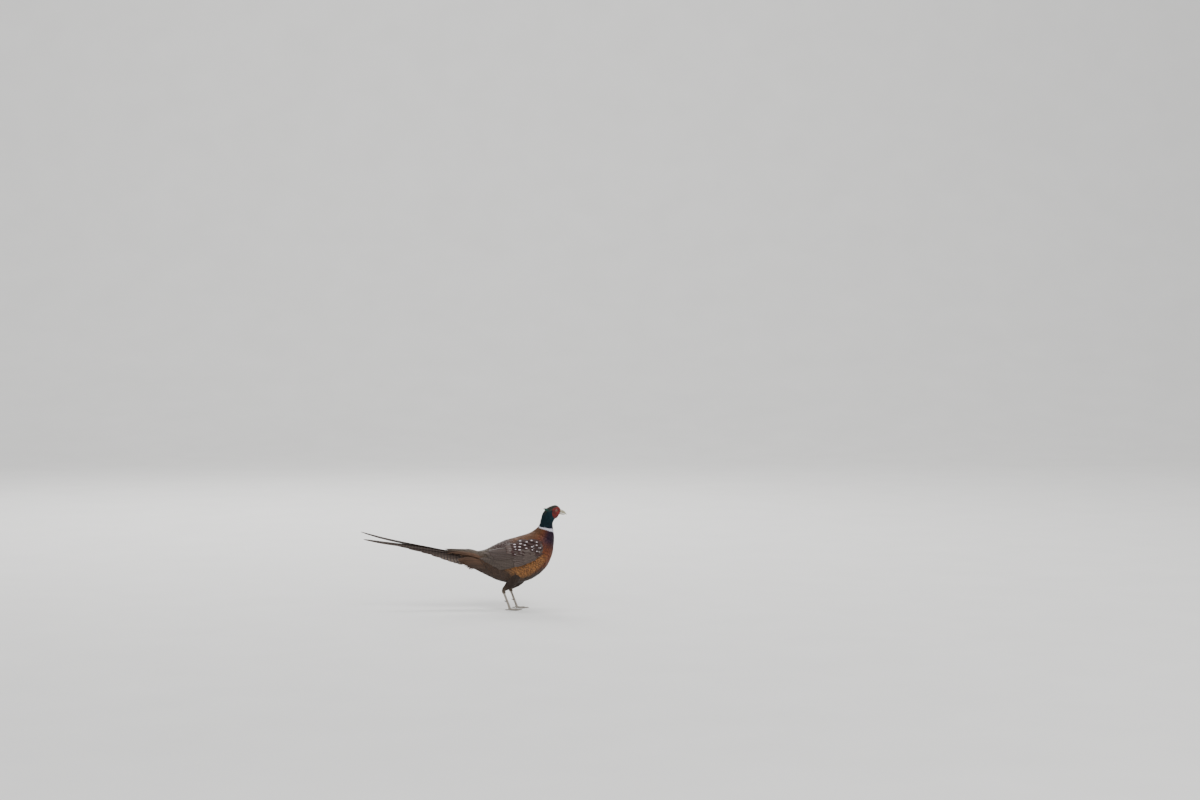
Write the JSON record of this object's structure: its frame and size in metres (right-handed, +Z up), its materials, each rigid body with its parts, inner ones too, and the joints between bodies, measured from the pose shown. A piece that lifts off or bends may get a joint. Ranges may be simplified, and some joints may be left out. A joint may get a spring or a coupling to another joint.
{
  "type": "ring-necked pheasant",
  "caption": "Standing cock pheasant as a still, life-size model: upright head with red wattles, white neck ring, folded wings and a long pointed tail.",
  "frame": {"origin": "on the floor under the middle of the bird's whole length and width", "axes": "+X towards the bill, +Y to the bird's left, +Z up"},
  "size_m": [0.8456, 0.1616, 0.4292],
  "materials": {
    "plumage": "matte",
    "dark_plumage": "satin",
    "wing_plumage": "matte",
    "tail_plumage": "matte",
    "bare_skin": "matte",
    "horn": "satin",
    "eye": "gloss",
    "leg_scale": "satin"
  },
  "bodies": {
    "root": {"head": "dark_plumage", "neck": "dark_plumage", "torso": "plumage", "rump": "plumage", "tail": "tail_plumage", "bill_upper": "horn", "bill_lower": "horn", "eye_left": "eye", "wattle_left": "bare_skin", "ear_tuft_left": "dark_plumage", "wing_left": "wing_plumage", "thigh_left": "plumage", "shank_left": "leg_scale", "foot_left": "leg_scale", "eye_right": "eye", "wattle_right": "bare_skin", "ear_tuft_right": "dark_plumage", "wing_right": "wing_plumage", "thigh_right": "plumage", "shank_right": "leg_scale", "foot_right": "leg_scale"}
  },
  "joints": []
}
